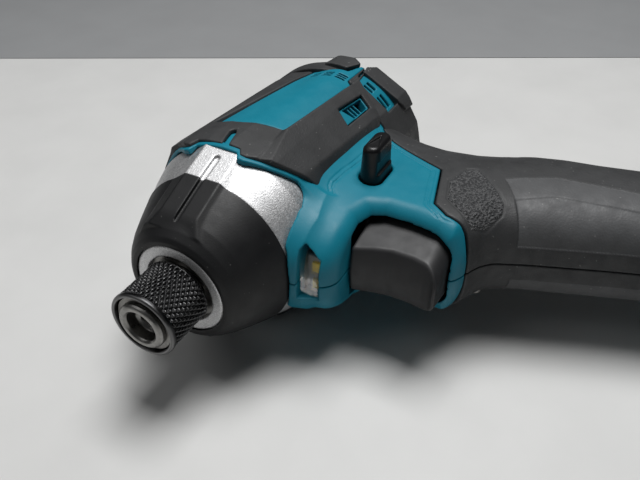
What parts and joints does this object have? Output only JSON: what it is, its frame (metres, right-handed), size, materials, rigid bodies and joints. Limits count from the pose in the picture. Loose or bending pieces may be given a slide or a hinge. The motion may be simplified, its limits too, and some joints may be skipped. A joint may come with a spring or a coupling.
{
  "type": "impact driver",
  "caption": "Compact cordless impact driver with a knurled hex bit sleeve, aluminium hammer case, rubber grip, trigger, reverse lever, lamp and battery foot, shown without its battery.",
  "frame": {"origin": "centre of the bit socket where its lead-in chamfer meets the round mouth, on the drive axis", "axes": "+X runs back along the drive axis, +Y points to the top of the tool so the grip runs to -Y, +Z points to the tool's left side, which is up as it lies on its right side"},
  "size_m": [0.1403, 0.1992, 0.0624],
  "materials": {
    "teal_plastic": "fine moulded satin",
    "soft_rubber": "matt fine texture",
    "black_plastic": "satin",
    "cast_aluminium": "blasted casting",
    "bronze": "sintered",
    "bright_steel": "ground",
    "dark_steel": "hardened",
    "black_oxide": "knurled black oxide",
    "core_steel": "laminated",
    "copper_wire": "enamelled",
    "circuit_board": "solder mask",
    "trigger_plastic": "satin",
    "gloss_black": "gloss",
    "clear_lens": "clear moulding",
    "lamp_phosphor": "coated",
    "terminal_plastic": "satin",
    "terminal_brass": "plated"
  },
  "bodies": {
    "tool": {"housing_left": "teal_plastic", "housing_right": "teal_plastic", "motor_rubber_left": "soft_rubber", "motor_rubber_right": "soft_rubber", "grip_rubber_left": "soft_rubber", "grip_rubber_right": "soft_rubber", "rear_cover": "black_plastic", "hammer_case": "cast_aluminium", "nose_bumper": "soft_rubber", "anvil_bush": "bronze", "ring_gear": "dark_steel", "gear_plate": "cast_aluminium", "carrier_bearing": "bright_steel", "motor_front_bearing": "bright_steel", "motor_rear_bearing": "bright_steel", "stator_core": "core_steel", "stator_coils": "copper_wire", "sensor_board": "circuit_board", "switch_unit": "black_plastic", "lamp_lens": "clear_lens", "lamp_board": "circuit_board", "lamp_chips": "lamp_phosphor", "controller": "black_plastic", "terminal_block": "terminal_plastic", "terminal_blades": "terminal_brass", "hook_inserts": "bronze", "housing_screws": "dark_steel"},
    "trigger": {"trigger": "trigger_plastic"},
    "lever": {"reverse_lever": "gloss_black"},
    "anvil": {"anvil": "dark_steel", "bit_balls": "bright_steel", "sleeve_ring": "dark_steel", "sleeve_spring": "bright_steel"},
    "sleeve": {"bit_sleeve": "black_oxide"},
    "carrier": {"spindle": "dark_steel", "cam_balls": "bright_steel", "planet_pins": "bright_steel", "hammer_spring": "bright_steel"},
    "hammer": {"hammer": "dark_steel"},
    "rotor": {"motor_shaft": "bright_steel", "rotor_core": "core_steel", "cooling_fan": "black_plastic"},
    "planet_1": {"planet_1": "bright_steel"},
    "planet_2": {"planet_2": "bright_steel"},
    "planet_3": {"planet_3": "bright_steel"}
  },
  "joints": [
    {"name": "carrier_spin", "type": "hinge", "parent": "tool", "child": "carrier", "pos_m": [0.07, 0, 0], "axis": [1, 0, 0], "continuous": true},
    {"name": "rotor_spin", "type": "hinge", "parent": "tool", "child": "rotor", "pos_m": [0.1, 0, 0], "axis": [1, 0, 0], "continuous": true},
    {"name": "anvil_spin", "type": "hinge", "parent": "tool", "child": "anvil", "pos_m": [0.02, 0, 0], "axis": [1, 0, 0], "continuous": true},
    {"name": "planet_1_spin", "type": "hinge", "parent": "carrier", "child": "planet_1", "pos_m": [0.07, 0, -0.0117], "axis": [1, 0, 0], "continuous": true},
    {"name": "planet_2_spin", "type": "hinge", "parent": "carrier", "child": "planet_2", "pos_m": [0.07, 0.01013, 0.00585], "axis": [1, 0, 0], "continuous": true},
    {"name": "planet_3_spin", "type": "hinge", "parent": "carrier", "child": "planet_3", "pos_m": [0.07, -0.01013, 0.00585], "axis": [1, 0, 0], "continuous": true},
    {"name": "hammer_retract", "type": "slide", "parent": "carrier", "child": "hammer", "axis": [1, 0, 0], "range_m": [0, 0.006], "stiffness_N_per_m": 8000, "springref_m": -0.004, "deforming": ["hammer_spring"]},
    {"name": "sleeve_pull", "type": "slide", "parent": "anvil", "child": "sleeve", "axis": [-1, 0, 0], "range_m": [0, 0.004], "stiffness_N_per_m": 900, "springref_m": -0.003, "deforming": ["sleeve_spring"]},
    {"name": "trigger_pull", "type": "slide", "parent": "tool", "child": "trigger", "axis": [1, 0, 0], "range_m": [0, 0.0065], "stiffness_N_per_m": 900, "springref_m": -0.006},
    {"name": "reverse_lever_slide", "type": "slide", "parent": "tool", "child": "lever", "axis": [0, 0, -1], "range_m": [0, 0.01]}
  ],
  "couplings": [
    {"joint": "rotor_spin", "follows": "carrier_spin", "ratio": 8},
    {"joint": "anvil_spin", "follows": "carrier_spin", "ratio": 1},
    {"joint": "planet_1_spin", "follows": "carrier_spin", "ratio": -2.3333},
    {"joint": "planet_2_spin", "follows": "carrier_spin", "ratio": -2.3333},
    {"joint": "planet_3_spin", "follows": "carrier_spin", "ratio": -2.3333}
  ]
}
